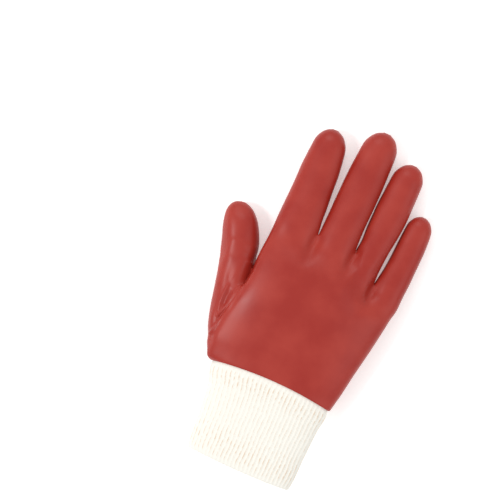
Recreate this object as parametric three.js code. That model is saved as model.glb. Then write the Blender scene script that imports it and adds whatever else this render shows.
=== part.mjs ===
// Right-hand work glove with a dipped plastic coat to the wrist and a rib-knit cuff, empty and lying palm down.
// +X runs towards the little finger, +Y towards the fingertips and +Z up from the back of the hand.
// Lengths are millimetres. The finished group's origin is the bottom centre of the whole glove.

import * as THREE from "three";

// The coated hand
const coatWall = 1.4;
const palmLength = 112; // coat's hem to the crotch between index and middle finger
const palmDepth = 30; // thickest place, behind the knuckles
const hemArch = 4; // how far the hem bows towards the fingers at its middle
const slit = 1.3; // gap between neighbouring fingers at their roots
const webSetback = 3; // the crotch's upper and lower lips lie this far behind its middle
const valleyStart = 1.35; // row of the palm where the valleys between the fingers begin

// Fingers from thumb side to outer side. Length runs from the crotches beside the finger to its tip. The swings are
// sideways, towards the little finger, half way along and at the tip. Rise is the height of the root's middle, and
// drop how far the crotch on the finger's outer side lies behind the first one.
const fingerSizes = {
  index: {
    length: 74.6, depth: 19, rise: 18.5, drop: 0,
    rootWidth: 31.3, midWidth: 28.4, tipWidth: 23.2, midSwing: -0.8, tipSwing: -2.5,
  },
  middle: {
    length: 86.6, depth: 19.6, rise: 17.5, drop: -1,
    rootWidth: 28.1, midWidth: 28.3, tipWidth: 25.2, midSwing: 0.4, tipSwing: 1.5,
  },
  ring: {
    length: 80.9, depth: 18.2, rise: 15.5, drop: 15,
    rootWidth: 20.4, midWidth: 24.6, tipWidth: 22.5, midSwing: 2, tipSwing: 3.1,
  },
  little: {
    length: 58.4, depth: 16, rise: 12.8, drop: 16.5,
    rootWidth: 22.4, midWidth: 21, tipWidth: 18.2, midSwing: 2, tipSwing: 2,
  },
};
const fingers = Object.values(fingerSizes);

// The thumb lies beside the palm on the floor. Its length runs from its crotch to its tip, the crotch is a share of
// the palm's length, and swing is how far its tip lies from the palm's middle, as a share of the palm's width.
const thumb = { length: 39, width: 25.6, depth: 20.5, crotch: 0.65, swing: 0.757 };

// Rounded ends as shares of the digit's width, and the stretch over which a digit's root turns into its own section
// as a share of its length.
const fingerEnd = { dome: 0.6, fade: 0.14 };
const thumbEnd = { dome: 0.78, fade: 0.14 };

// The knit cuff
const cuffLength = 64.8; // the part that shows below the coat
const cuffWidth = 80; // across the folded end
const cuffDepth = 22.5; // thickness of the folded end, back to palm side
const cuffWall = 2.6; // two layers of rib knit
const cuffTuck = 8; // the part inside the coat
const cuffGap = 0.3; // clearance to the coat
const cuffShift = 4.2; // the folded end's middle lies this far towards the little finger
const endBow = 1; // how far the folded end bows out at its middle
const cuffPress = 0.9; // how far the underside is pressed flat where it lies
const ribCount = 60;
const ribDepth = 0.5; // a rib's height over the groove beside it

// Mesh density
const across = 6; // facets over the back of a finger
const ringCount = 2 * across + 4;
const ringStep = (2 * Math.PI) / ringCount;
const crease = 2; // palm-side column where the ball of the thumb meets the palm
const arcCount = ringCount - crease - 3; // points round the free side of the thumb
const facetsPerRib = 4;

// Section shapes, as powers of a superellipse: 2 is an ellipse, more is squarer
const palmPower = 2.6;
const fingerPower = 2.25;
const cuffPower = 2.5;

const palmWidth = fingers.reduce((sum, f) => sum + f.rootWidth, 0) + slit * (fingers.length - 1);
const columns = across * fingers.length;

// Rows of the palm. Along runs from 0 at the hem through 1 at the thumb's crotch to 2 at the knuckles. Left and right
// are the edges of the back as shares of the palm's width, and middle, half and tilt are shares of its depth.
const palmRows = [
  { along: 0, left: -0.515, right: 0.357, middle: 0.475, half: 0.445, tilt: 0.0 },
  { along: 0.045, left: -0.551, right: 0.365, middle: 0.478, half: 0.45, tilt: 0.0 },
  { along: 0.14, left: -0.584, right: 0.376, middle: 0.49, half: 0.462, tilt: 0.005 },
  { along: 0.24, left: -0.6, right: 0.387, middle: 0.51, half: 0.475, tilt: 0.015 },
  { along: 0.39, left: -0.589, right: 0.4, middle: 0.535, half: 0.487, tilt: 0.03 },
  { along: 0.55, left: -0.573, right: 0.414, middle: 0.56, half: 0.495, tilt: 0.055 },
  { along: 0.7, left: -0.553, right: 0.429, middle: 0.585, half: 0.5, tilt: 0.08 },
  { along: 0.85, left: -0.532, right: 0.444, middle: 0.6, half: 0.498, tilt: 0.1 },
  { along: 1, left: -0.517, right: 0.458, middle: 0.605, half: 0.487, tilt: 0.108 },
  { along: 1.24, left: -0.513, right: 0.469, middle: 0.6, half: 0.468, tilt: 0.108 },
  { along: 1.47, left: -0.51, right: 0.477, middle: 0.585, half: 0.44, tilt: 0.107 },
  { along: 1.68, left: -0.507, right: 0.485, middle: 0.565, half: 0.41, tilt: 0.106 },
  { along: 1.85, left: -0.504, right: 0.491, middle: 0.55, half: 0.375, tilt: 0.105 },
  { along: 2, left: -0.501, right: 0.496, middle: 0.535, half: 0.345, tilt: 0.105 },
];

// The ball of the thumb beside and under the palm. Middle and half are shares of the palm's width, height and
// depth of the thumb's depth, and fold is where its inner side meets the palm, as a share of the palm's width.
const thumbRows = [
  { along: 0, middle: -0.332, half: 0.193, height: 0.69, depth: 0.64, fold: -0.205 },
  { along: 0.045, middle: -0.374, half: 0.195, height: 0.68, depth: 0.635, fold: -0.206 },
  { along: 0.14, middle: -0.393, half: 0.205, height: 0.66, depth: 0.63, fold: -0.21 },
  { along: 0.24, middle: -0.424, half: 0.197, height: 0.64, depth: 0.615, fold: -0.222 },
  { along: 0.39, middle: -0.476, half: 0.178, height: 0.605, depth: 0.59, fold: -0.25 },
  { along: 0.55, middle: -0.519, half: 0.162, height: 0.575, depth: 0.565, fold: -0.285 },
  { along: 0.7, middle: -0.558, half: 0.145, height: 0.55, depth: 0.54, fold: -0.325 },
  { along: 0.85, middle: -0.593, half: 0.132, height: 0.525, depth: 0.52, fold: -0.375 },
  { along: 1, middle: -0.626, half: 0.125, height: 0.505, depth: 0.503, fold: -0.42 },
];

const lerp = THREE.MathUtils.lerp;
const smooth = (from, to, value) => THREE.MathUtils.smoothstep(value, from, to);

// A row of a table at any place between its rows.
function rowAt(table, along) {
  const last = table.length - 1;
  const next = Math.min(last, Math.max(1, table.findIndex((row) => row.along >= along - 1e-9)));
  const [a, b] = [table[next - 1], table[next]];
  const share = (along - a.along) / (b.along - a.along);
  return Object.fromEntries(Object.keys(a).map((key) => [key, lerp(a[key], b[key], share)]));
}

// A point of a unit superellipse.
function oval(angle, power) {
  const [c, s] = [Math.cos(angle), Math.sin(angle)];
  const bend = (value) => Math.sign(value) * Math.abs(value) ** (2 / power);
  return [bend(c), bend(s)];
}

// A closed surface under construction: its points, and its faces with their corners listed round the outside.
class Skin {
  points = [];
  faces = [];

  add(x, y, z) {
    this.points.push(new THREE.Vector3(x, y, z));
    return this.points.length - 1;
  }

  // The ring of faces between two rings of as many points each.
  band(near, far) {
    near.forEach((_, i) => {
      const j = (i + 1) % near.length;
      this.faces.push([near[i], near[j], far[j], far[i]]);
    });
  }

  normals() {
    const sums = this.points.map(() => new THREE.Vector3());
    for (const face of this.faces) {
      const [a, b, c, d] = face.map((i) => this.points[i]);
      const flat = new THREE.Vector3().crossVectors(c.clone().sub(a), (d ?? a).clone().sub(b));
      face.forEach((i) => sums[i].add(flat));
    }
    return sums.map((sum) => sum.normalize());
  }

  // Four-cornered faces are split along their shorter diagonal.
  geometry() {
    const corner = (i) => this.points[i].toArray();
    const triangles = this.faces.flatMap((face) => {
      if (face.length === 3) return [face];
      const [a, b, c, d] = face;
      const short = this.points[a].distanceTo(this.points[c]) <= this.points[b].distanceTo(this.points[d]);
      return short ? [[a, b, c], [a, c, d]] : [[a, b, d], [b, c, d]];
    });
    const made = new THREE.BufferGeometry();
    made.setAttribute("position", new THREE.Float32BufferAttribute(triangles.flat().flatMap(corner), 3));
    made.computeVertexNormals();
    return made;
  }
}

// Where each finger's root lies across the palm, and how far along the palm its two crotches are.
let edge = -palmWidth / 2;
let dropBefore = fingers[0].drop;
for (const finger of fingers) {
  finger.rootX = edge + finger.rootWidth / 2;
  finger.from = palmLength - dropBefore;
  finger.to = palmLength - finger.drop;
  finger.tip = (finger.from + finger.to) / 2 + finger.length;
  edge += finger.rootWidth + slit;
  dropBefore = finger.drop;
}

// The surface of a finger: its section at a distance along the glove. It droops so that its tip rests on the floor,
// and its middle line is the parabola through the root and the two swings.
function fingerPoint(finger, angle, y) {
  const share = (y - (finger.from + finger.to) / 2) / finger.length;
  const width = lerp(
    lerp(finger.rootWidth, finger.midWidth, smooth(0, 0.5, share)),
    finger.tipWidth,
    smooth(0.5, 1, share));
  const height = lerp(finger.rise, finger.depth / 2, smooth(-0.1, 0.85, share));
  const past = Math.max(0, share);
  const slope = 4 * finger.midSwing - finger.tipSwing;
  const swing = past * (slope + past * (finger.tipSwing - slope));
  const [c, s] = oval(angle, fingerPower);
  return new THREE.Vector3(finger.rootX + swing + (width / 2) * c, y, height + (finger.depth / 2) * s);
}

// The angle of the k-th point over the back of a finger, from its thumb side to its outer side.
const backAngle = (k) => Math.PI - ringStep * (k + 1);

// Where the palm's columns lie across it, from 0 at the thumb-side edge to 1 at the outer edge. Those behind a finger
// follow its section, and one lies behind the middle of each slit.
const columnShare = Array.from({ length: columns + 1 }, (_, j) => {
  const f = Math.min(fingers.length - 1, Math.floor(j / across));
  const finger = fingers[f];
  const k = j - f * across;
  const x = k === 0 && f > 0
    ? finger.rootX - (finger.rootWidth + slit) / 2
    : finger.rootX + (finger.rootWidth / 2) * oval(backAngle(k), fingerPower)[0];
  return x / palmWidth + 0.5;
});

// How far along the glove a point of the palm lies. The hem bows and the knuckles follow the crotches.
function palmY(share, along) {
  const x = palmWidth * (share - 0.5);
  const hem = hemArch * (1 - (2 * share - 1) ** 2);
  const stops = [fingers[0].from, ...fingers.map((f) => f.to)];
  const places = [-palmWidth / 2, ...fingers.map((f) => f.rootX + (f.rootWidth + slit) / 2)];
  const next = Math.min(stops.length - 1, Math.max(1, places.findIndex((place) => place >= x - 1e-6)));
  const between = (x - places[next - 1]) / (places[next] - places[next - 1]);
  const knuckle = lerp(stops[next - 1], stops[next], smooth(0, 1, between)) - webSetback;
  return lerp(hem, knuckle, along < 1 ? along * thumb.crotch : lerp(thumb.crotch, 1, along - 1));
}

// A point of the palm's skin. Side is 1 on the back, -1 on the palm side and 0 on the edge.
function palmPoint(share, along, side) {
  const row = rowAt(palmRows, along);
  const ball = rowAt(thumbRows, Math.min(along, 1));
  const [left, right] = [row.left * palmWidth, row.right * palmWidth];
  const foldShare = columnShare[crease];
  const x = side < 0 && along < 1
    ? lerp(ball.fold * palmWidth, right, (share - foldShare) / (1 - foldShare))
    : lerp(left, right, share);
  const offset = (2 * x - left - right) / (right - left);
  const bulge = Math.max(0, 1 - Math.abs(offset) ** palmPower) ** (1 / palmPower);
  const z = palmDepth * (row.middle - row.tilt * offset + side * row.half * bulge);
  return new THREE.Vector3(x, palmY((offset + 1) / 2, along), z);
}

// A palm point that turns into the roots of the fingers near the knuckles.
function handPoint(column, along, side) {
  const share = columnShare[column];
  const point = palmPoint(share, along, side);
  const f = Math.min(fingers.length - 1, Math.floor(column / across));
  const k = column - f * across;
  const angle = side * backAngle(k);
  const root = fingerPoint(fingers[f], angle, point.y);
  if (k === 0 && f > 0) {
    const before = fingerPoint(fingers[f - 1], side * backAngle(across), point.y);
    root.lerp(before, 0.5);
  }
  return point.lerp(root, smooth(valleyStart, 2, along));
}

// The free side of the ball of the thumb at one row, from the fold under the palm round to the fold on the back.
function ballArc(along, under, over) {
  const row = rowAt(thumbRows, along);
  const [x, z] = [row.middle * palmWidth, row.height * thumb.depth];
  const [halfWidth, halfDepth] = [row.half * palmWidth, row.depth * thumb.depth];
  const angleTo = (point) => Math.atan2((point.z - z) / halfDepth, (point.x - x) / halfWidth);
  const [start, end] = [angleTo(under), angleTo(over) - 2 * Math.PI];
  const hemRow = palmRows[0];
  const hemX = ((hemRow.left + hemRow.right) / 2) * palmWidth;
  const hemHalf = ((hemRow.right - hemRow.left) / 2) * palmWidth;
  const hemAngle = (point) =>
    Math.atan2((point.z / palmDepth - hemRow.middle) / hemRow.half, (point.x - hemX) / hemHalf);
  const [hemStart, hemEnd] = [hemAngle(under), hemAngle(over) - 2 * Math.PI];
  const free = smooth(0, 0.08, along);
  return Array.from({ length: arcCount }, (_, i) => {
    const share = (i + 1) / (arcCount + 1);
    const [c, s] = oval(lerp(start, end, share), fingerPower);
    const [hc, hs] = oval(lerp(hemStart, hemEnd, share), palmPower);
    const y = palmY((hc + 1) / 2, along);
    const hem = new THREE.Vector3(hemX + hemHalf * hc, y, palmDepth * (hemRow.middle + hemRow.half * hs));
    return hem.lerp(new THREE.Vector3(x + halfWidth * c, y, z + halfDepth * s), free);
  });
}

// Rings and a rounded end on a digit's root ring. Surface gives the digit's points, angles are the root ring's, and
// the root ring's own shape fades out over the given share of the digit.
function growDigit(skin, root, angles, even, surface, tip, domeLength, fade) {
  const straight = [0.1, 0.24, 0.4, 0.56, 0.7, 0.82];
  const dome = [0, 24, 44, 61, 75].map(THREE.MathUtils.degToRad);
  const start = root.map((i) => skin.points[i].clone());
  const offsets = start.map((p, i) => p.clone().sub(surface(angles[i], p.y)));
  let ring = root;
  const grow = (place, shrink) => {
    const next = ring.map((_, i) => {
      const y = place(start[i].y);
      const share = (y - start[i].y) / (tip - start[i].y);
      const angle = lerp(angles[i], even[i], smooth(0, 0.45, share));
      const p = surface(angle, y).addScaledVector(offsets[i], 1 - smooth(0, fade, share));
      const middle = surface(0, y).lerp(surface(Math.PI, y), 0.5);
      p.lerp(middle, 1 - shrink).setY(y);
      return skin.add(p.x, p.y, p.z);
    });
    skin.band(ring, next);
    ring = next;
  };
  straight.forEach((share) => grow((y) => lerp(y, tip - domeLength, share), 1));
  dome.forEach((turn) => grow(() => tip - domeLength * (1 - Math.sin(turn)), Math.cos(turn)));

  // The end is a small pillow of faces with one row of points across its middle.
  const at = (i) => ring[(i + ring.length) % ring.length];
  const half = across + 2;
  const seam = Array.from({ length: across + 1 }, (_, k) => {
    if (k === 0) return at(-1);
    if (k === across) return at(across + 1);
    const p = skin.points[at(k)].clone().lerp(skin.points[at(2 * half - 2 - k)], 0.5);
    return skin.add(p.x, tip, p.z);
  });
  for (let k = 0; k < across; k++) {
    skin.faces.push([at(k), at(k + 1), seam[k + 1], seam[k]]);
    skin.faces.push([seam[k], seam[k + 1], at(2 * half - 3 - k), at(2 * half - 2 - k)]);
  }
}

// The outside of the coated hand, open at the hem. Its first ring is the hem.
function handSkin() {
  const skin = new Skin();
  const put = (p) => skin.add(p.x, p.y, p.z);
  const [first, last] = [fingers[0], fingers[fingers.length - 1]];
  const edgePoint = (share, along, finger, angle) =>
    palmPoint(share, along, 0).lerp(fingerPoint(finger, angle, palmY(share, along)), smooth(valleyStart, 2, along));
  let ring = null;
  let hemRing = null;
  let thumbRoot = null;
  for (const { along } of palmRows) {
    const back = columnShare.map((_, j) => put(handPoint(j, along, 1)));
    const outer = put(edgePoint(1, along, last, 0));
    if (along < 1) {
      const front = columnShare.slice(crease).map((_, j) => put(handPoint(j + crease, along, -1)));
      const arc = ballArc(along, skin.points[front[0]], skin.points[back[0]]).map(put);
      const next = [...back, outer, ...front.slice().reverse(), ...arc];
      if (ring) skin.band(ring, next);
      hemRing ??= next;
      ring = next;
      continue;
    }
    const front = columnShare.map((_, j) => put(handPoint(j, along, -1)));
    const inner = put(edgePoint(0, along, first, Math.PI));
    if (along === 1) {
      const arc = ballArc(along, skin.points[front[crease]], skin.points[back[0]]).map(put);
      skin.band(ring, [...back, outer, ...front.slice(crease).reverse(), ...arc]);
      thumbRoot = [back[0], inner, ...front.slice(0, crease + 1), ...arc];
    }
    const next = [...back, outer, ...front.slice().reverse(), inner];
    if (along > 1) skin.band(ring, next);
    ring = next;
  }

  // The crotches' middles join neighbouring fingers, then each finger grows from its own ring.
  const knuckles = ring;
  const count = columns + 1;
  const backOf = (j) => knuckles[j];
  const frontOf = (j) => knuckles[2 * count - j];
  const webs = [knuckles[2 * count + 1]];
  fingers.slice(0, -1).forEach((finger, f) => {
    const j = (f + 1) * across;
    const p = skin.points[backOf(j)].clone().lerp(skin.points[frontOf(j)], 0.5);
    webs.push(skin.add(p.x, finger.to, p.z));
  });
  webs.push(knuckles[count]);
  const even = Array.from({ length: ringCount }, (_, i) => Math.PI - ringStep * (i + 1));
  fingers.forEach((finger, f) => {
    const ids = Array.from({ length: across + 1 }, (_, k) => f * across + k);
    const root = [...ids.map(backOf), webs[f + 1], ...ids.map(frontOf).reverse(), webs[f]];
    const surface = (angle, y) => fingerPoint(finger, angle, y);
    const domeLength = finger.tipWidth * fingerEnd.dome;
    growDigit(skin, root, even, even, surface, finger.tip, domeLength, fingerEnd.fade);
  });

  // The thumb.
  const base = rowAt(thumbRows, 1);
  const crotchY = palmY(0, 1);
  const [rootX, rootZ] = [base.middle * palmWidth, base.height * thumb.depth];
  const thumbPoint = (angle, y) => {
    const share = (y - crotchY) / thumb.length;
    const x = lerp(rootX, -thumb.swing * palmWidth, share);
    const width = lerp(base.half * palmWidth * 2, thumb.width, smooth(0, 0.35, share));
    const [c, s] = oval(angle, fingerPower);
    return new THREE.Vector3(x + (width / 2) * c, y, rootZ + (thumb.depth / 2) * s);
  };
  const seen = thumbRoot.map((i) => {
    const p = skin.points[i];
    return Math.atan2((p.z - rootZ) / thumb.depth, (p.x - rootX) / thumb.width);
  });
  for (let i = 1; i < seen.length; i++) while (seen[i] > seen[i - 1] + 0.2) seen[i] -= 2 * Math.PI;
  const thumbEven = Array.from({ length: ringCount }, (_, i) => Math.PI / 4 - ringStep * i);
  const tip = crotchY + thumb.length;
  growDigit(skin, thumbRoot, seen, thumbEven, thumbPoint, tip, thumb.width * thumbEnd.dome, thumbEnd.fade);
  return { skin, hemRing };
}

// The coat: the outside, the same surface set in by the wall, and the cut rim that joins them at the hem.
function coatedHand() {
  const { skin, hemRing } = handSkin();
  const normals = skin.normals();
  const outsideCount = skin.points.length;
  const outsideFaces = skin.faces.slice();
  const onHem = new Set(hemRing);
  for (let i = 0; i < outsideCount; i++) {
    const p = skin.points[i].clone().addScaledVector(normals[i], -coatWall);
    skin.add(p.x, onHem.has(i) ? skin.points[i].y : p.y, p.z);
  }
  outsideFaces.forEach((face) => skin.faces.push(face.map((i) => i + outsideCount).reverse()));
  skin.band(hemRing.map((i) => i + outsideCount), hemRing);
  return skin.geometry();
}

// Lets a closed section be walked in even steps: its angles, evenly spaced along its outline.
function evenAngles(halfWidth, halfDepth, power, count) {
  const fine = 1440;
  const at = (i) => oval((2 * Math.PI * i) / fine, power);
  const lengths = [0];
  for (let i = 1; i <= fine; i++) {
    const [[x0, z0], [x1, z1]] = [at(i - 1), at(i)];
    lengths.push(lengths[i - 1] + Math.hypot((x1 - x0) * halfWidth, (z1 - z0) * halfDepth));
  }
  let i = 0;
  return Array.from({ length: count }, (_, k) => {
    const wanted = (lengths[fine] * k) / count;
    while (lengths[i + 1] < wanted) i++;
    return (2 * Math.PI * (i + (wanted - lengths[i]) / (lengths[i + 1] - lengths[i]))) / fine;
  });
}

// The cuff: a ribbed tube that starts inside the coat and ends in a fold, flat where it lies on the floor.
function knitWrist() {
  const hem = palmRows[0];
  const inset = coatWall + cuffGap;
  const topHalf = ((hem.right - hem.left) / 2) * palmWidth - inset;
  const topX = ((hem.right + hem.left) / 2) * palmWidth;
  const [topZ, topDepth] = [hem.middle * palmDepth, hem.half * palmDepth - inset];
  const endHalf = cuffWidth / 2;
  const endDepth = cuffDepth / 2;
  // At is a distance from the coat's edge. Spread is a share of the change from there to the folded end, bow a share
  // of the hem's bow, ribs a share of their depth, and narrow how much smaller the section is, in walls.
  const cuffRows = [
    { at: cuffTuck, spread: 0, bow: 1, ribs: 0, narrow: 0.3 },
    { at: cuffTuck * 0.12, spread: 0, bow: 1, ribs: 0, narrow: 0 },
    { at: -cuffLength * 0.012, spread: 0, bow: 1, ribs: 0.5, narrow: -0.2 },
    { at: -cuffLength * 0.06, spread: 0.06, bow: 0.9, ribs: 1, narrow: -0.46 },
    { at: -cuffLength * 0.25, spread: 0.48, bow: 0.6, ribs: 1, narrow: -0.3 },
    { at: -cuffLength * 0.58, spread: 0.8, bow: 0.2, ribs: 1, narrow: -0.15 },
    { at: -cuffLength * 0.95, spread: 1, bow: 0, ribs: 1, narrow: 0 },
    { at: -cuffLength + endBow + cuffWall / 2, spread: 1, bow: -endBow / hemArch, ribs: 0.8, narrow: 0.35 },
  ];
  const skin = new Skin();
  const total = ribCount * facetsPerRib;
  const place = (row, angle, set, floor) => {
    const inwards = set + row.narrow * cuffWall;
    const halfWidth = lerp(topHalf, endHalf, row.spread) - inwards;
    const halfDepth = lerp(topDepth, endDepth, row.spread) - inwards;
    const middleZ = lerp(topZ, endDepth - cuffPress, row.spread);
    const [c, s] = oval(angle, cuffPower);
    const x = topX + cuffShift * row.spread + halfWidth * c;
    const y = row.at + hemArch * row.bow * (1 - c * c);
    return skin.add(x, y, Math.max(floor, middleZ + halfDepth * s));
  };
  // Angles run backwards so that the rings turn the same way as the hand's.
  const ringOf = (row, count, set) =>
    evenAngles(topHalf, topDepth, cuffPower, count).map((angle, i) => {
      const rib = 0.5 - 0.5 * Math.cos((2 * Math.PI * i) / facetsPerRib);
      return place(row, -angle, count === total ? set + ribDepth * rib * row.ribs : set, set);
    });
  const outside = cuffRows.map((row) => ringOf(row, total, 0));
  const inside = cuffRows.map((row) => ringOf(row, ribCount, cuffWall));
  const fold = cuffRows[cuffRows.length - 1];
  const foldRing = ringOf({ ...fold, at: -cuffLength + endBow }, ribCount, cuffWall / 2);
  for (let i = 1; i < cuffRows.length; i++) {
    skin.band(outside[i], outside[i - 1]);
    skin.band(inside[i - 1], inside[i]);
  }
  skin.band(inside[cuffRows.length - 1], foldRing);
  // Every rib's facets share one segment of the smoother ring beside them.
  const stitch = (fine, coarse, outwards) => {
    coarse.forEach((corner, i) => {
      const next = coarse[(i + 1) % coarse.length];
      const facets = Array.from({ length: facetsPerRib + 1 }, (_, k) => fine[(i * facetsPerRib + k) % fine.length]);
      for (let k = 0; k < facetsPerRib; k++) {
        const last = k === facetsPerRib - 1;
        const face = last ? [facets[k], facets[k + 1], next, corner] : [facets[k], facets[k + 1], corner];
        skin.faces.push(outwards ? face : face.reverse());
      }
    });
  };
  stitch(outside[cuffRows.length - 1], foldRing, false);
  stitch(outside[0], inside[0], true);
  return skin.geometry();
}

const glove = new THREE.Group();
const finish = {
  coated_hand: { color: 0xb2453c, roughness: 0.42, metalness: 0 },
  knit_wrist: { color: 0xf4eee2, roughness: 0.95, metalness: 0 },
};
const shapes = { coated_hand: coatedHand(), knit_wrist: knitWrist() };
for (const [name, geometry] of Object.entries(shapes)) {
  const mesh = new THREE.Mesh(geometry, new THREE.MeshStandardMaterial(finish[name]));
  mesh.name = name;
  glove.add(mesh);
}

// The origin is the bottom centre of the glove's box.
const box = new THREE.Box3().setFromObject(glove);
const middle = box.getCenter(new THREE.Vector3());
glove.children.forEach((mesh) => mesh.position.set(-middle.x, -middle.y, -box.min.z));

export default glove;
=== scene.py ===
import math

import bmesh
import bpy
import numpy as np
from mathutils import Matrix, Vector, noise


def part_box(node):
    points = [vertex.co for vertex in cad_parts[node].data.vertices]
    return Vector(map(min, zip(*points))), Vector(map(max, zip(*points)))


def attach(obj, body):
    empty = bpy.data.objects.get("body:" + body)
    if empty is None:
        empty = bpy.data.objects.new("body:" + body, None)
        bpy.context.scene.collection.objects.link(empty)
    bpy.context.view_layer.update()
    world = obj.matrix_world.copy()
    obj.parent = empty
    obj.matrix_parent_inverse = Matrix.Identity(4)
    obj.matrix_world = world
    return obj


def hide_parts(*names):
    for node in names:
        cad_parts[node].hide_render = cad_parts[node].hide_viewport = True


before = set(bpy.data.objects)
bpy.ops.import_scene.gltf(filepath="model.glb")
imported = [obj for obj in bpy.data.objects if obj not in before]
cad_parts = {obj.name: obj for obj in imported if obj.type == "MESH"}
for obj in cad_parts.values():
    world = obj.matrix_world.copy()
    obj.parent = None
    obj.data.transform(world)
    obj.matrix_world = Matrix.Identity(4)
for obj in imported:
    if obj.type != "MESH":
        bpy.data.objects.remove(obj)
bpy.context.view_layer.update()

# The coat. A cotton liner on a hand-shaped former is dipped in liquid PVC and baked, so palm, back, fingers
# and thumb are one smooth brick-red skin with the cotton on its inside. At the wrist it ends in a soft rolled
# edge.
mm = 0.001
coat_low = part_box("coated_hand")[0]
coat_wall = 1.4 * mm
hem_reach = 6 * mm  # the hem lies within this distance of the coat's low end
rim_facing = -0.95  # the cut rim faces the wrist: the y of its normals is below this
weld_distance = 0.01 * mm
cage_rounds = 5  # in which the cage is fitted, so that the smooth surface passes through the shell's points
# The mesh is made finer in these boxes round the folds at the root of the thumb, one inside the other. Their
# corners are in mm.
finer_boxes = (
    ((-60, -58, 7), (-30, 18, 40)),
    ((-51, -54, 9), (-34.5, 12, 40)),
)


def skew(edge):
    """How far from right angles the quad's corners would be that two triangles make without this edge."""
    a, b = edge.verts
    c, d = (next(v for v in face.verts if v not in edge.verts) for face in edge.link_faces)

    def angle(at, one, other):
        return (one.co - at.co).angle(other.co - at.co)

    at_a = angle(a, c, b) + angle(a, b, d)
    at_b = angle(b, c, a) + angle(b, a, d)
    corners = (angle(c, a, b), angle(d, a, b), at_a, at_b)
    return sum(abs(corner - math.pi / 2) for corner in corners)


def join_pairs(shell):
    """Joins triangles of one material two by two, squarest quads first, and those with one choice at once."""
    edges = [e for e in shell.edges if len({face.material_index for face in e.link_faces}) == 1]
    cost = {edge: skew(edge) for edge in edges}
    free = set(shell.faces)
    dissolved = []

    def choices(face):
        return [e for e in face.edges if e in cost and free.issuperset(e.link_faces)]

    for edge in sorted(cost, key=cost.get):
        forced = [edge]
        while forced:
            taken = forced.pop()
            if not free.issuperset(taken.link_faces):
                continue
            dissolved.append(taken)
            free.difference_update(taken.link_faces)
            # A dict keeps the faces in the order met, so that every run joins the same pairs.
            around = dict.fromkeys(f for face in taken.link_faces for e in face.edges for f in e.link_faces)
            for face in around:
                left = choices(face)
                if len(left) == 1:
                    forced.append(left[0])
    bmesh.ops.dissolve_edges(shell, edges=dissolved, use_verts=False)


def coat_shell(node):
    """The coat's outside, its inside and the cut rim, as quads. The inside has the second material."""
    shell = bmesh.new()
    shell.from_mesh(node.data)
    bmesh.ops.remove_doubles(shell, verts=shell.verts, dist=weld_distance)
    inside, outside, rim = 1, 0, 2
    for face in shell.faces:
        on_rim = face.normal.y < rim_facing and face.calc_center_median().y < coat_low.y + hem_reach
        face.material_index = rim if on_rim else inside
    top = max(shell.verts, key=lambda vert: vert.co.z)
    reached = [top.link_faces[0]]
    while reached:
        face = reached.pop()
        if face.material_index == inside:
            face.material_index = outside
            reached.extend(f for edge in face.edges for f in edge.link_faces)
    join_pairs(shell)
    for face in shell.faces:
        face.smooth = True
        if face.material_index == rim:
            face.material_index = outside
    return shell


def coordinates(mesh):
    flat = np.empty(len(mesh.vertices) * 3, np.float32)
    mesh.vertices.foreach_get("co", flat)
    return flat.reshape(-1, 3).astype(float)


def place(mesh, points):
    mesh.vertices.foreach_set("co", points.astype(np.float32).ravel())
    mesh.update()


def evaluated_mesh(piece):
    return bpy.data.meshes.new_from_object(piece.evaluated_get(bpy.context.evaluated_depsgraph_get()))


def subdivide_through(piece, levels):
    """Subdivides a piece into a smooth surface that still passes through its own points."""
    smoother = piece.modifiers.new("smooth", "SUBSURF")
    smoother.levels = smoother.render_levels = levels
    smoother.use_limit_surface = True
    wanted = coordinates(piece.data)
    cage = wanted.copy()
    for _ in range(cage_rounds):
        place(piece.data, cage)
        bpy.context.view_layer.update()
        cage += wanted - coordinates(evaluated_mesh(piece))[: len(wanted)]
    place(piece.data, cage)
    bpy.context.view_layer.update()
    fine = evaluated_mesh(piece)
    piece.modifiers.remove(smoother)
    piece.data = fine


def new_piece(name, mesh):
    piece = bpy.data.objects.new(name, mesh)
    bpy.context.scene.collection.objects.link(piece)
    return piece


def refine(mesh, low, high):
    """Cuts each face that lies within a box into four."""
    shell = bmesh.new()
    shell.from_mesh(mesh)
    edges = {}
    for face in shell.faces:
        middle = face.calc_center_median()
        if all(low[i] < middle[i] < high[i] for i in range(3)):
            edges.update(dict.fromkeys(face.edges))
    bmesh.ops.subdivide_edges(shell, edges=list(edges), cuts=1, use_grid_fill=True)
    bmesh.ops.triangulate(shell, faces=[face for face in shell.faces if len(face.verts) > 4])
    shell.to_mesh(mesh)
    shell.free()


def relax(mesh, points, rounds, keep, pulls=(0.5, -0.52)):
    """Moves points towards the middle of their neighbours, or away from it where a pull is below 0.

    A pull in and a push back even out small ripples without shrinking the surface. Where keep is 1, points
    stay.
    """
    ends = np.empty(len(mesh.edges) * 2, np.int32)
    mesh.edges.foreach_get("vertices", ends)
    a, b = ends.reshape(-1, 2).T
    count = np.bincount(ends, minlength=len(points))[:, None]
    for _ in range(rounds):
        for pull in pulls:
            total = np.stack([
                np.bincount(a, points[b, i], len(points)) + np.bincount(b, points[a, i], len(points))
                for i in range(3)], 1)
            points = points + pull * (total / count - points) * (1 - keep)[:, None]
    return points


coat_mesh = bpy.data.meshes.new("pvc_coat")
shell = coat_shell(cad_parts["coated_hand"])
hem_ring = np.array([
    v.co for v in shell.verts
    if v.co.y < coat_low.y + hem_reach and any(f.normal.y < rim_facing for f in v.link_faces)])
shell.to_mesh(coat_mesh)
shell.free()
coat = new_piece("dipped_coat", coat_mesh)
subdivide_through(coat, levels=2)
for low, high in finer_boxes:
    refine(coat.data, Vector(low) * mm, Vector(high) * mm)


def ease(value, start, end):
    """0 before the start and 1 after the end, with a smooth step between them."""
    t = np.clip((value - start) / (end - start), 0, 1)
    return t * t * (3 - 2 * t)


def column(table, which):
    return np.array([row[which] for row in table]) * mm


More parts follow.
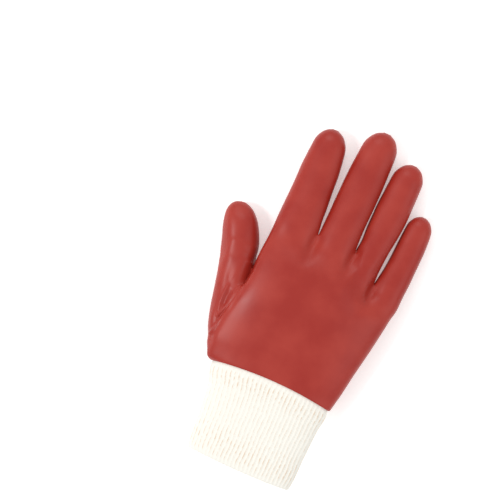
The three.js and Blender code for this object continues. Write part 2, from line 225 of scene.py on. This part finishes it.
# The gap between thumb and palm, as x and y in mm. The thumb's own directions, along it and across it, start
# from the corner where its outer side leaves the hand.
thumb_gap = ((-38.1, 8.8), (-39.3, 17.7), (-41.3, 24.7), (-42.5, 32), (-45, 60))
thumb_corner = np.array((-57.7, -4.6)) * mm
thumb_along = np.array((-0.407, 0.914))
thumb_across = np.array((0.914, 0.407))

# What the thumb gains over the bare shell, and from where to where, along it or across it, each gain sets in
# or fades.
palm_side_gain = 3 * mm
palm_side_across = (6 * mm, 22 * mm)
palm_side_along = (0, 16 * mm)
tip_gain = 2 * mm
tip_along = (25 * mm, 44 * mm)
crown_gain = 2 * mm
crown_middle = 12 * mm
crown_reach = 11 * mm
crown_starts = (-4 * mm, 12 * mm)
crown_fades = (30 * mm, 42 * mm)
crown_squarer = (0, 14 * mm)  # over this stretch the crown's outer side goes from round to nearly square
crown_powers = (2, 4.5)
root_gain = 1.2 * mm
root_middle = 13 * mm
root_reach = 8 * mm
root_starts = (-14 * mm, -4 * mm)
root_fades = (-2 * mm, 8 * mm)
gain_heights = (8 * mm, 16 * mm)  # only the thumb's upper side rises


def filled_thumb(points):
    """The thumb is a little fuller towards the palm, longer and rounder on top than the bare shell."""
    from_corner = points[:, :2] - thumb_corner
    along, across = from_corner @ thumb_along, from_corner @ thumb_across
    fuller = palm_side_gain * ease(across, *palm_side_across) * ease(along, *palm_side_along)
    longer = tip_gain * ease(along, *tip_along)
    side = np.clip(np.abs(across - crown_middle) / crown_reach, 0, 1)
    outer_power = np.interp(along, crown_squarer, crown_powers)
    rounder = crown_gain * (1 - side ** np.where(across < crown_middle, outer_power, 2))
    rounder *= ease(along, *crown_starts) * (1 - ease(along, *crown_fades))
    root = root_gain * np.clip(1 - ((across - root_middle) / root_reach) ** 2, 0, 1)
    root *= ease(along, *root_starts) * (1 - ease(along, *root_fades))
    on_thumb = points[:, 0] < np.interp(points[:, 1], column(thumb_gap, 1), column(thumb_gap, 0))
    moved = points.copy()
    moved[:, 2] += (rounder + root) * on_thumb * ease(points[:, 2], *gain_heights)
    moved[:, :2] += (fuller[:, None] * thumb_across + longer[:, None] * thumb_along) * on_thumb[:, None]
    return moved


# Places at the hem's thumb side, x and y in mm, by how much they are pushed outwards or drawn in, and how
# widely.
hem_corners = (
    ((-40, -65.5), (-1.9, -0.9), 4.5),
    ((-48, -53.8), (1, 0.3), 5),
)


def pushed_hem(points):
    moved = points.copy()
    for corner, push, width in hem_corners:
        away = np.linalg.norm(points[:, :2] - np.array(corner) * mm, axis=1)
        moved[:, :2] += np.exp(-((away / (width * mm)) ** 2))[:, None] * np.array(push) * mm
    return moved


# The back panel's edge over the thumb, from the hem to the crotch: y and x in mm, the height of the thumb
# beside it, and how much deeper the coat lies right at the edge. Below the crotch the thumb slides in under
# the panel.
panel_edge = (
    (-51, -46.6, 60, 0), (-37.5, -43.3, 60, 0), (-26.4, -41.4, 40, 0), (-21, -40.7, 26, -4),
    (-16.4, -39.9, 22.8, -3.6), (-12, -39.1, 22.6, -1.5), (-7.7, -38.2, 22.3, 2.7), (-4.1, -37.9, 22.2, 4.7),
    (2.9, -37.4, 22.4, 6.6), (8, -37.7, 22.8, 7.2), (13, -37.7, 24.5, 7.2), (18, -37.7, 32, 7.2),
    (25.6, -37.4, 60, 0),
)
pocket_width = 9 * mm
lip_width = 1.2 * mm  # the pocket's wall rises to the panel over this width, steeply at first
lip_height = 12 * mm
lip_power = 0.6
pocket_softness = 0.7 * mm


def pocket(points, depth_below):
    """Lowers the coat beside the panel's edge, where the thumb goes in under it, and the liner with it."""
    y = points[:, 1]
    edge_x, top, drop = (np.interp(y, column(panel_edge, 0), column(panel_edge, i)) for i in (1, 2, 3))
    beyond = edge_x - points[:, 0] + depth_below
    near = np.clip(1 - beyond / pocket_width, 0, 1)
    limit = top - drop * near**2 + np.maximum(beyond - pocket_width, 0)
    limit += lip_height * (np.maximum(-beyond, 0) / lip_width) ** lip_power - depth_below
    lowered = points.copy()
    lowered[:, 2] = limit - pocket_softness * np.logaddexp(0, (limit - points[:, 2]) / pocket_softness)
    return lowered


def beside(points, path, width):
    """1 on a path seen from above, fading over the width beside it and at its ends."""
    best = np.zeros(len(points))
    for start, end in zip(path[:-1], path[1:]):
        a, b = np.array(start) * mm, np.array(end) * mm
        along = np.clip(((points[:, :2] - a) @ (b - a)) / ((b - a) @ (b - a)), 0, 1)
        away = np.linalg.norm(points[:, :2] - a - along[:, None] * (b - a), axis=1)
        best = np.maximum(best, np.exp(-((away / width) ** 2)))
    return best


# Folds and dents of the soft coat: each is a path seen from above, x and y in mm, its half width and its
# height.
coat_folds = (
    ("edge of the back panel over the ball of the thumb",
     ((-38.6, -9.5), (-39.9, -16.4), (-41.4, -26.4), (-43.3, -37.5), (-46.6, -51)), 1.1, 0.85),
    ("fold beside the panel's edge",
     ((-40.5, -11.5), (-41.8, -15.6), (-43.1, -23.3), (-44.3, -29.3), (-46.7, -36.3)), 1, 0.65),
    ("fold that turns back up the thumb",
     ((-46.7, -36.3), (-48, -32.5), (-49, -25.9), (-49.1, -20.4), (-48.8, -14)), 1.1, 0.55),
    ("groove between the two folds", ((-39.4, -13), (-40.9, -21), (-42.4, -28), (-45.8, -39.5)), 0.8, -0.4),
    ("dimple inside the fold", ((-46.1, -18.3), (-46.6, -22.5), (-46.5, -27.1)), 1.9, -0.9),
    ("dent behind the crotch of index and middle finger", ((-2.5, 42.7), (-3.5, 38)), 4, -0.3),
    ("dent behind the crotch of middle and ring finger", ((26.3, 45), (26, 40)), 4, -0.3),
    ("dent behind the crotch of ring and little finger", ((47, 28.6), (46, 24)), 4, -0.3),
)
fold_facing = 0.3  # folds stand in full where the z of the normal is above this, and fade out down the sides
wave_length = 26 * mm
wave_height = 0.22 * mm
# Distances from the coat's low end over which the evening out, and the folds, set in.
even_from_hem = (5 * mm, 8 * mm)
folds_from_hem = (4 * mm, 12 * mm)
even_rounds = 12
# Thumb and pocket run into each other softly. This part of the thumb's top is smoothed further: where it
# starts and ends along y, where it starts along -x beside the panel, and the heights over which it sets in.
soft_starts = (-8 * mm, 2 * mm)
soft_ends = (18 * mm, 38 * mm)
soft_edge = (39 * mm, 41.5 * mm)
soft_heights = (12 * mm, 17 * mm)
soft_rounds = 60
soft_pull = 0.5

points = coordinates(coat.data)
outside = np.ones(len(points))
for face in coat.data.polygons:
    if face.material_index:
        outside[list(face.vertices)] = 0
points = pushed_hem(filled_thumb(points))
points = pocket(points, coat_wall * (1 - outside))
on_hem = 1 - ease(points[:, 1], *(coat_low.y + edge for edge in even_from_hem))
points = relax(coat.data, points, even_rounds, on_hem)
x, y, z = points.T
soft_top = ease(y, *soft_starts) * (1 - ease(y, *soft_ends)) * ease(-x, *soft_edge)
points = relax(coat.data, points, soft_rounds, 1 - soft_top * ease(z, *soft_heights), pulls=(soft_pull,))
place(coat.data, points)
normals = np.empty(len(points) * 3, np.float32)
coat.data.vertex_normals.foreach_get("vector", normals)
normals = normals.reshape(-1, 3)
from_hem = ease(points[:, 1], *(coat_low.y + edge for edge in folds_from_hem))
upper = np.clip(normals[:, 2] / fold_facing, 0, 1)
rise = np.zeros(len(points))
for _, path, width, height in coat_folds:
    rise += beside(points, path, width * mm) * height * mm * upper
waves = np.array([noise.noise(Vector(p / wave_length)) for p in points])
rise += waves * wave_height
points += normals * (rise * outside * from_hem)[:, None]
points[:, 2] = np.maximum(points[:, 2], 0)
place(coat.data, points)


def linear(code):
    """An sRGB hex colour as the linear colour that Blender's nodes take."""
    parts = [int(code[i : i + 2], 16) / 255 for i in (1, 3, 5)]
    return (*(c / 12.92 if c <= 0.04045 else ((c + 0.055) / 1.055) ** 2.4 for c in parts), 1)


def add(tree, kind, inputs=(), **settings):
    """Adds a node with its settings, and sets or links its inputs."""
    node = tree.nodes.new(kind)
    for name, value in settings.items():
        setattr(node, name, value)
    for name, value in dict(inputs).items():
        if isinstance(value, bpy.types.NodeSocket):
            tree.links.new(value, node.inputs[name])
        else:
            node.inputs[name].default_value = value
    return node


def new_material(name):
    """A material with an empty tree, and the tree."""
    material = bpy.data.materials.new(name)
    material.use_nodes = True
    material.node_tree.nodes.clear()
    return material, material.node_tree


# Dipped PVC: a plasticised paste that flows before it is baked. It gives a closed, semi-gloss skin with soft,
# wide highlights. Cloudy patches a few centimetres wide come from its uneven thickness over the cotton.
pvc_deep = "#9E271D"
pvc_pale = "#AA3428"
pvc_ior = 1.53
pvc_specular = 0.35
pvc_roughness = (0.36, 0.44)
cloud_size = 24 * mm
cloud_tints = (0.35, 0.68)  # the coat is deep where the noise is below the first, pale above the second
cloud_haze = (0.35, 0.65)  # and it goes from its least to its most rough between these
grain_size = 0.8 * mm  # the liner's knit, felt through the coat, drawn twice as coarse as it is
grain_depth = 0.05 * mm
grain_strength = 0.12

pvc, tree = new_material("dipped_pvc")
place_on = add(tree, "ShaderNodeTexCoord").outputs["Object"]
clouds = add(tree, "ShaderNodeTexNoise", {
    "Vector": place_on, "Scale": 1 / cloud_size, "Detail": 3, "Roughness": 0.5}).outputs["Fac"]
tint = add(tree, "ShaderNodeValToRGB", {"Fac": clouds})
for stop, position, colour in zip(tint.color_ramp.elements, cloud_tints, (pvc_deep, pvc_pale)):
    stop.position = position
    stop.color = linear(colour)
haze = add(tree, "ShaderNodeMapRange", {
    "Value": clouds, "From Min": cloud_haze[0], "From Max": cloud_haze[1],
    "To Min": pvc_roughness[0], "To Max": pvc_roughness[1]})
grain = add(tree, "ShaderNodeTexNoise", {"Vector": place_on, "Scale": 1 / grain_size, "Detail": 2})
bump = add(tree, "ShaderNodeBump", {
    "Height": grain.outputs["Fac"], "Strength": grain_strength, "Distance": grain_depth})
gloss = add(tree, "ShaderNodeBsdfPrincipled", {
    "Base Color": tint.outputs["Color"], "Roughness": haze.outputs["Result"], "IOR": pvc_ior,
    "Specular IOR Level": pvc_specular, "Normal": bump.outputs["Normal"]})
add(tree, "ShaderNodeOutputMaterial", {"Surface": gloss.outputs["BSDF"]})

# Cotton interlock, the liner's inside: matt and off-white, with fine wavering lines where its stitches stand
# in rows. The hollows between the rows are painted darker, as painted shade.
liner_light = "#EFE9DD"
liner_painted_shade = "#D8CFC0"
liner_roughness = 0.95
wale_repeat = 8 * mm  # the wave repeats three times over this, coarser than in real cotton, so that it shows
wale_depth = 0.2 * mm
wale_strength = 0.4

liner, tree = new_material("cotton_interlock")
place_on = add(tree, "ShaderNodeTexCoord").outputs["Object"]
wales = add(tree, "ShaderNodeTexWave", {
    "Vector": place_on, "Scale": 1 / wale_repeat, "Distortion": 1.5, "Detail": 2}).outputs["Fac"]
# Painted shade: where the wave's bump lies low, in the hollows, the liner takes the darker colour.
shade = add(tree, "ShaderNodeMix", {"Factor": wales, "A": linear(liner_painted_shade), "B": linear(liner_light)},
            data_type="RGBA")
bump = add(tree, "ShaderNodeBump", {"Height": wales, "Strength": wale_strength, "Distance": wale_depth})
cloth = add(tree, "ShaderNodeBsdfPrincipled", {
    "Base Color": shade.outputs["Result"], "Roughness": liner_roughness, "Normal": bump.outputs["Normal"]})
add(tree, "ShaderNodeOutputMaterial", {"Surface": cloth.outputs["BSDF"]})

coat.data.materials.clear()
coat.data.materials.append(pvc)
coat.data.materials.append(liner)
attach(coat, "root")
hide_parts("coated_hand")

# The knit wrist. A tube of rib-knit cotton is folded double, its raw end is caught inside the coat, and the
# fold is its free end. The ribs run lengthwise, and columns of small V stitches stand on each of them.
knit_low, knit_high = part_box("knit_wrist")
knit_wall = 2.6 * mm
clearance = 0.3 * mm
tuck = 8 * mm
rib_count = 60
rib_facets = 8
rib_height = 0.22 * mm
inner_rib_share = 0.4  # of the ribs' height, inside the cuff
rib_wander = 0.5  # of a rib's width, the most by which two ribs' places drift apart
wander_size = 12 * mm
stitch_pitch = 1.7 * mm  # drawn coarser than real stitches, so that they show
stitch_height = 0.2 * mm
stitch_lean = 1.1  # stitches that a V's leg would climb over the whole width of a rib
section_power = 2.5  # of a superellipse, where 2 is an ellipse
mouth_half_width = 40 * mm
mouth_half_depth = 11.25 * mm
mouth_shift = 2.5 * mm  # the folded end sits this much nearer the little finger than the middle of the knit
mouth_press = 0.9 * mm  # the folded end is pressed flat by this much where it lies
hem_bow = 4 * mm  # the hem's middle lies this much further up the hand than its sides
# Rows of the swept tube: a step along the part that shows, and counts in the tuck, round the fold and inside.
row_step = 0.45 * mm
last_tucked_row = 0.5 * mm
tucked_rows = 5
fold_rows = 9
inner_rows = 26
outline_steps = 4000  # in which the tube's outline is walked, to space its columns evenly

# Stations along the cuff, from inside the coat to the fold, as shares of the length that shows: how far its
# section has changed into the folded end's, the share of the hem's bow that is left, how much wider the cuff
# bulges, as a share of the wall, and how far the ribs stand up.
cuff_stations = (
    {"at": 0.124, "spread": 0, "bow": 1, "bulge": -0.3, "ribs": 0},
    {"at": 0.015, "spread": 0, "bow": 1, "bulge": 0, "ribs": 0},
    {"at": -0.012, "spread": 0, "bow": 1, "bulge": 0.2, "ribs": 0.5},
    {"at": -0.06, "spread": 0.06, "bow": 0.9, "bulge": 0.46, "ribs": 1},
    {"at": -0.25, "spread": 0.48, "bow": 0.6, "bulge": 0.3, "ribs": 1},
    {"at": -0.58, "spread": 0.8, "bow": 0.2, "bulge": 0.15, "ribs": 1},
    {"at": -0.95, "spread": 1, "bow": 0, "bulge": 0, "ribs": 1},
    {"at": -1, "spread": 1, "bow": -0.25, "bulge": -0.2, "ribs": 0.8},
)


def station(key, at):
    """A value of the stations at any place along the cuff, on a smooth curve through them."""
    places = [row["at"] for row in cuff_stations][::-1]
    values = [row[key] for row in cuff_stations][::-1]
    slopes = np.gradient(values, places)
    at = np.clip(at, places[0], places[-1])
    i = np.clip(np.searchsorted(places, at) - 1, 0, len(places) - 2)
    x0, x1, y0, y1 = (np.array(v)[j] for v, j in ((places, i), (places, i + 1), (values, i), (values, i + 1)))
    t = (at - x0) / (x1 - x0)
    s0, s1 = slopes[i] * (x1 - x0), slopes[i + 1] * (x1 - x0)
    return y0 + (y1 - y0) * t * t * (3 - 2 * t) + s0 * t * (1 - t) ** 2 - s1 * t * t * (1 - t)


def cuff_profile():
    """The way round the cuff's wall: places along it from the coat's edge, and depths under its outside."""
    length = coat_low.y - knit_low.y
    fold = knit_wall / 2
    tucked = np.linspace(tuck, last_tucked_row, tucked_rows)
    outside = np.concatenate((tucked, np.arange(0, fold - length, -row_step)))
    turn = np.linspace(0, math.pi, fold_rows)
    inside = np.linspace(fold - length, tuck, inner_rows)
    along = np.concatenate((outside, fold - length - fold * np.sin(turn), inside[1:]))
    depth = np.concatenate((0 * outside, fold * (1 - np.cos(turn)), 0 * inside[1:] + knit_wall))
    return along, depth, length


def superellipse(angle):
    c, s = np.cos(angle), np.sin(angle)
    return np.sign(c) * np.abs(c) ** (2 / section_power), np.sign(s) * np.abs(s) ** (2 / section_power)


def cuff_tube():
    """The cuff's wall without its ribs, as a closed loop of rows swept round the wrist."""
    along, depth, length = cuff_profile()
    low, high = hem_ring.min(axis=0), hem_ring.max(axis=0)
    inset = coat_wall + clearance
    top_x, top_z = (low[0] + high[0]) / 2, (low[2] + high[2]) / 2
    top_width, top_depth = (high[0] - low[0]) / 2 - inset, (high[2] - low[2]) / 2 - inset
    mouth_x = (knit_low.x + knit_high.x) / 2 + mouth_shift
    columns = rib_count * rib_facets
    fine = np.linspace(0, 2 * math.pi, outline_steps)
    x, z = superellipse(fine)
    walked = np.concatenate(([0], np.cumsum(np.hypot(np.diff(x) * top_width, np.diff(z) * top_depth))))
    across, upward = superellipse(np.interp(np.arange(columns) / columns * walked[-1], walked, fine))
    rows = []
    for y, set_in in zip(along, depth):
        at = y / length
        spread, bulge = station("spread", at), station("bulge", at) * knit_wall
        width = top_width + (mouth_half_width - top_width) * spread + bulge - set_in
        height = top_depth + (mouth_half_depth - top_depth) * spread + bulge - set_in
        middle_x = top_x + (mouth_x - top_x) * spread
        middle_z = top_z + (mouth_half_depth - mouth_press - top_z) * spread
        row_y = coat_low.y + y + hem_bow * station("bow", at) * (1 - across**2)
        row_z = np.maximum(set_in, middle_z + height * upward)
        rows.append(np.stack((middle_x + width * across, row_y, row_z), 1))
    count = len(rows)
    faces = [
        (i * columns + j, (i + 1) % count * columns + j, (i + 1) % count * columns + (j + 1) % columns,
         i * columns + (j + 1) % columns)
        for i in range(count) for j in range(columns)
    ]
    mesh = bpy.data.meshes.new("rib_knit")
    mesh.from_pydata(np.concatenate(rows), [], faces)
    mesh.polygons.foreach_set("use_smooth", [True] * len(faces))
    run = np.concatenate(([0], np.cumsum(np.hypot(np.diff(along), np.diff(depth)))))
    stand = [station("ribs", y / length) * (1 if d < knit_wall else inner_rib_share)
             for y, d in zip(along, depth)]
    values = {
        "wale": np.tile(np.arange(columns) / rib_facets, count),
        "course": np.repeat(run, columns),
        "stand": np.repeat(stand, columns),
    }
    for name, value in values.items():
        mesh.attributes.new(name, "FLOAT", "POINT").data.foreach_set("value", value.astype(np.float32))
    return mesh


def stitch_tree():
    """Raises ribs and V stitches on a tube whose points know their wale and course, and marks its grooves."""
    tree = bpy.data.node_groups.new("rib_stitches", "GeometryNodeTree")
    sockets = {
        "Geometry": "NodeSocketGeometry", "Rib height": "NodeSocketFloat", "Stitch height": "NodeSocketFloat",
        "Stitch pitch": "NodeSocketFloat", "Lean": "NodeSocketFloat", "Wander": "NodeSocketFloat",
        "Wander size": "NodeSocketFloat", "Floor": "NodeSocketFloat", "Material": "NodeSocketMaterial"}
    for name, kind in sockets.items():
        tree.interface.new_socket(name, in_out="INPUT", socket_type=kind)
    tree.interface.new_socket("Geometry", in_out="OUTPUT", socket_type="NodeSocketGeometry")
    given = add(tree, "NodeGroupInput").outputs
    wale, course, stand = (
        add(tree, "GeometryNodeInputNamedAttribute", {"Name": name}).outputs["Attribute"]
        for name in ("wale", "course", "stand")
    )
    turn = 2 * math.pi
    # Across the ribs: a cosine whose crests wander a little, as knitting does.
    scale = add(tree, "ShaderNodeMath", {0: 1, 1: given["Wander size"]}, operation="DIVIDE").outputs[0]
    drift = add(tree, "ShaderNodeTexNoise", {"Scale": scale, "Detail": 1}).outputs["Fac"]
    drift = add(tree, "ShaderNodeMath", {0: drift, 1: 0.5}, operation="SUBTRACT").outputs[0]
    drift = add(tree, "ShaderNodeMath", {0: drift, 1: given["Wander"], 2: wale},
                operation="MULTIPLY_ADD").outputs[0]
    phase = add(tree, "ShaderNodeMath", {0: drift}, operation="FRACT").outputs[0]
    phase = add(tree, "ShaderNodeMath", {0: phase, 1: 0.5}, operation="SUBTRACT").outputs[0]
    angle = add(tree, "ShaderNodeMath", {0: phase, 1: turn}, operation="MULTIPLY").outputs[0]
    crest = add(tree, "ShaderNodeMath", {0: angle}, operation="COSINE").outputs[0]
    crest = add(tree, "ShaderNodeMath", {0: crest, 1: 0.5, 2: 0.5}, operation="MULTIPLY_ADD").outputs[0]
    # Along the ribs: V stitches, whose two legs lean from the middle of the rib.
    legs = add(tree, "ShaderNodeMath", {0: phase}, operation="ABSOLUTE").outputs[0]
    legs = add(tree, "ShaderNodeMath", {0: legs, 1: given["Lean"]}, operation="MULTIPLY").outputs[0]
    beat = add(tree, "ShaderNodeMath", {0: course, 1: given["Stitch pitch"]}, operation="DIVIDE").outputs[0]
    beat = add(tree, "ShaderNodeMath", {0: beat, 1: legs}, operation="ADD").outputs[0]
    beat = add(tree, "ShaderNodeMath", {0: beat, 1: turn}, operation="MULTIPLY").outputs[0]
    loops = add(tree, "ShaderNodeMath", {0: beat}, operation="COSINE").outputs[0]
    loops = add(tree, "ShaderNodeMath", {0: loops, 1: 0.5, 2: 0.5}, operation="MULTIPLY_ADD").outputs[0]
    loops = add(tree, "ShaderNodeMath", {0: loops, 1: given["Stitch height"], 2: given["Rib height"]},
                operation="MULTIPLY_ADD").outputs[0]
    height = add(tree, "ShaderNodeMath", {0: loops, 1: crest}, operation="MULTIPLY").outputs[0]
    height = add(tree, "ShaderNodeMath", {0: height, 1: stand}, operation="MULTIPLY").outputs[0]
    # The points move out along the normal, but not into what the cuff lies on.
    normal = add(tree, "GeometryNodeInputNormal").outputs["Normal"]
    offset = add(tree, "ShaderNodeVectorMath", {0: normal, "Scale": height}, operation="SCALE").outputs[0]
    raised = add(tree, "GeometryNodeSetPosition", {"Geometry": given["Geometry"], "Offset": offset})
    split = add(tree, "ShaderNodeSeparateXYZ", {0: add(tree, "GeometryNodeInputPosition").outputs[0]}).outputs
    above = add(tree, "ShaderNodeMath", {0: split["Z"], 1: given["Floor"]}, operation="MAXIMUM").outputs[0]
    lifted = add(tree, "ShaderNodeCombineXYZ", {"X": split["X"], "Y": split["Y"], "Z": above})
    laid = add(tree, "GeometryNodeSetPosition", {
        "Geometry": raised.outputs[0], "Position": lifted.outputs[0]})
    # The cotton's material reads where the grooves are, and paints shade in them.
    groove = add(tree, "ShaderNodeMath", {0: 1, 1: crest}, operation="SUBTRACT").outputs[0]
    groove = add(tree, "ShaderNodeMath", {0: groove, 1: stand}, operation="MULTIPLY").outputs[0]
    kept = add(tree, "GeometryNodeStoreNamedAttribute", {
        "Geometry": laid.outputs[0], "Name": "groove", "Value": groove})
    real = add(tree, "GeometryNodeRealizeInstances", {"Geometry": kept.outputs[0]})
    dressed = add(tree, "GeometryNodeSetMaterial", {
        "Geometry": real.outputs[0], "Material": given["Material"]})
    add(tree, "NodeGroupOutput", {"Geometry": dressed.outputs[0]})
    return tree


# Natural rib-knit cotton: unbleached ring-spun yarn, soft and quite matt. The ribs are cream, and the deepest
# part of the grooves between them is painted a darker warm tan in broken lines, as painted shade.
cotton_light = "#F5F2E9"
cotton_groove_shade = "#E4D0BA"
cotton_roughness = 0.95
cotton_sheen = 0.15
groove_floor = 0.85  # the painted shade lies in the deepest part of a groove, above this share of its depth
dash_length = 3 * mm
dash_apart = 1.5 * mm
dash_breaks = (0.35, 0.65)
fluff_size = 0.5 * mm
fluff_depth = 0.15 * mm
fluff_strength = 0.3

cotton, tree = new_material("rib_knit_cotton")
place_on = add(tree, "ShaderNodeTexCoord").outputs["Object"]
groove = add(tree, "ShaderNodeAttribute", attribute_name="groove").outputs["Fac"]
groove = add(tree, "ShaderNodeMapRange", {
    "Value": groove, "From Min": groove_floor, "From Max": 1}).outputs["Result"]
stretched = add(tree, "ShaderNodeMapping", {
    "Vector": place_on, "Scale": (1 / dash_apart, 1 / dash_length, 1 / dash_apart)}).outputs[0]
breaks = add(tree, "ShaderNodeTexNoise", {"Vector": stretched, "Scale": 1, "Detail": 2}).outputs["Fac"]
dashes = add(tree, "ShaderNodeMapRange", {
    "Value": breaks, "From Min": dash_breaks[0], "From Max": dash_breaks[1]}).outputs["Result"]
# Painted shade: the deepest part of each groove, broken into dashes, is drawn darker and warmer than the
# ribs.
groove_shade = add(tree, "ShaderNodeMath", {0: groove, 1: dashes}, operation="MULTIPLY").outputs[0]
yarn = add(tree, "ShaderNodeMix", {"Factor": groove_shade, "A": linear(cotton_light), "B": linear(cotton_groove_shade)},
           data_type="RGBA").outputs["Result"]
fluff = add(tree, "ShaderNodeTexNoise", {"Vector": place_on, "Scale": 1 / fluff_size, "Detail": 3})
bump = add(tree, "ShaderNodeBump", {
    "Height": fluff.outputs["Fac"], "Strength": fluff_strength, "Distance": fluff_depth})
fibre = add(tree, "ShaderNodeBsdfPrincipled", {
    "Base Color": yarn, "Roughness": cotton_roughness, "Sheen Weight": cotton_sheen,
    "Normal": bump.outputs["Normal"]})
add(tree, "ShaderNodeOutputMaterial", {"Surface": fibre.outputs["BSDF"]})

cuff = new_piece("rib_knit_wrist", cuff_tube())
knitting = cuff.modifiers.new("stitches", "NODES")
knitting.node_group = stitch_tree()
wanted = {
    "Rib height": rib_height, "Stitch height": stitch_height, "Stitch pitch": stitch_pitch,
    "Lean": stitch_lean, "Wander": rib_wander, "Wander size": wander_size, "Floor": 0, "Material": cotton}
for item in knitting.node_group.interface.items_tree:
    if item.in_out == "INPUT" and item.name in wanted:
        knitting[item.identifier] = wanted[item.name]
knitted = evaluated_mesh(cuff)
cuff.modifiers.remove(knitting)
cuff.data = knitted
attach(cuff, "root")
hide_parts("knit_wrist")

# The place it lies: a wide sheet of matt white opal acrylic, lit weakly from within as in a light table, so
# that it shows white around the glove. The room is plain and bright, with three soft lamps, and the camera
# looks straight down.
floor_size = 3  # in metres
floor_white = "#F6F6F5"
floor_roughness = 0.9
floor_glow = 0.35
room_light = 0.7

corner = floor_size / 2
sheet = bpy.data.meshes.new("table")
corners = [(-corner, -corner, 0), (corner, -corner, 0), (corner, corner, 0), (-corner, corner, 0)]
sheet.from_pydata(corners, [], [(0, 1, 2, 3)])
floor = new_piece("floor", sheet)
opal, tree = new_material("lit_opal_acrylic")
matt = add(tree, "ShaderNodeBsdfPrincipled", {
    "Base Color": linear(floor_white), "Roughness": floor_roughness, "Emission Color": linear("#FFFFFF"),
    "Emission Strength": floor_glow})
add(tree, "ShaderNodeOutputMaterial", {"Surface": matt.outputs["BSDF"]})
sheet.materials.append(opal)

world = bpy.data.worlds.new("studio")
world.use_nodes = True
world.node_tree.nodes["Background"].inputs["Color"].default_value = linear("#FFFFFF")
world.node_tree.nodes["Background"].inputs["Strength"].default_value = room_light
bpy.context.scene.world = world

glove_turn = math.radians(24)  # the glove's lengthwise axis against the photograph's upright
right = Vector((math.cos(glove_turn), math.sin(glove_turn), 0))
up = Vector((-math.sin(glove_turn), math.cos(glove_turn), 0))
middle = Vector((-44.6 * mm, 15.35 * mm, 15 * mm))  # the point at the picture's centre


def softbox(name, across, along, height, size, power):
    """A square lamp that faces the glove, placed by metres right, up and over the middle of the picture."""
    lamp = bpy.data.lights.new(name, "AREA")
    lamp.energy = power
    lamp.size = size
    light = bpy.data.objects.new(name, lamp)
    bpy.context.scene.collection.objects.link(light)
    light.location = middle + right * across + up * along + Vector((0, 0, height))
    light.rotation_euler = (middle - light.location).to_track_quat("-Z", "Y").to_euler()


softbox("key", across=-0.8, along=0.05, height=1.05, size=0.25, power=6)
softbox("top", across=0.1, along=1.1, height=1.0, size=0.6, power=3)
softbox("fill", across=0.9, along=-0.4, height=1.0, size=0.8, power=2)

lens = 200
frame_width = 359 * mm  # what the square picture takes in at the glove
clip_distance = 20
camera_data = bpy.data.cameras.new("camera")
camera_data.lens = lens
camera_data.clip_end = clip_distance
camera = bpy.data.objects.new("camera", camera_data)
bpy.context.scene.collection.objects.link(camera)
camera.location = middle + Vector((0, 0, frame_width * lens / camera_data.sensor_width))
camera.rotation_euler = (0, 0, glove_turn)
bpy.context.scene.camera = camera
bpy.context.scene.view_settings.view_transform = "Standard"
